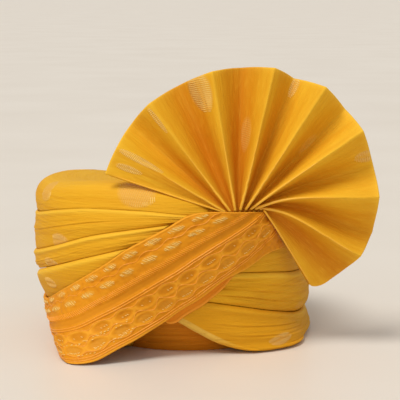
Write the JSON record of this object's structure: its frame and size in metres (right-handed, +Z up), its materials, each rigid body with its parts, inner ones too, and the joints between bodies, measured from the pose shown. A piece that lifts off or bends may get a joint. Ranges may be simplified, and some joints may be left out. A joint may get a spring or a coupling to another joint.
{
  "type": "tied turban",
  "caption": "Ready-tied turban of gold-orange cloth wound in pleated turns round an open head hollow, with a brocade band across the front and an upright pleated fan.",
  "frame": {"origin": "middle of the bounding box at table height", "axes": "+X towards the fan's side, +Y to the back of the turban, +Z up"},
  "size_m": [0.304, 0.2798, 0.2465],
  "materials": {
    "inner_cloth": "plain-woven silk blend, matt in the folds",
    "gold_cloth": "silk blend with a soft sheen, fine crinkles along the turns and scattered woven motifs",
    "brocade": "brocade with rows of raised motifs in metallic thread",
    "fan_cloth": "crisp pressed silk blend with scattered woven motifs"
  },
  "bodies": {
    "root": {"inner_wrap": "inner_cloth", "top_wrap": "gold_cloth", "upper_wrap": "gold_cloth", "middle_wrap": "gold_cloth", "lower_wrap": "gold_cloth", "band_fold": "inner_cloth", "brocade_band": "brocade", "fan": "fan_cloth"}
  },
  "joints": []
}
